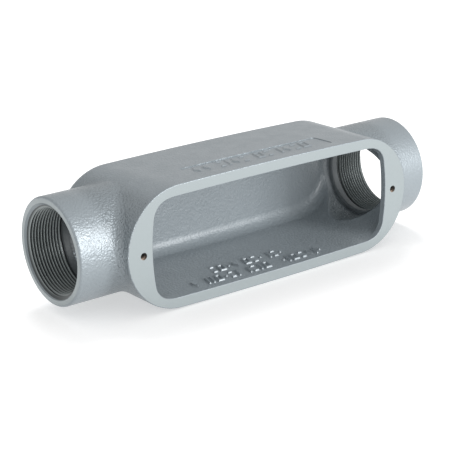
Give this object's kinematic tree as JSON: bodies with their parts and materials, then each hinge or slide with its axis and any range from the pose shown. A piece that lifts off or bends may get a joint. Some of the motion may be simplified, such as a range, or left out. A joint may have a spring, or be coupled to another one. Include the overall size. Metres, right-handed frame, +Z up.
{
  "type": "conduit body",
  "caption": "Straight-through cast conduit body with a threaded hub at each end and one long open side for a screwed cover.",
  "frame": {"origin": "bottom centre of the casting's bounding box; the hub axis runs at y 3.6 mm, z 42.3 mm", "axes": "+X along the conduit towards the right hub, -Y out of the covered opening, +Z up"},
  "size_m": [0.2958, 0.0832, 0.0846],
  "materials": {
    "painted_iron": "satin"
  },
  "bodies": {
    "root": {"conduit_body": "painted_iron"}
  },
  "joints": []
}
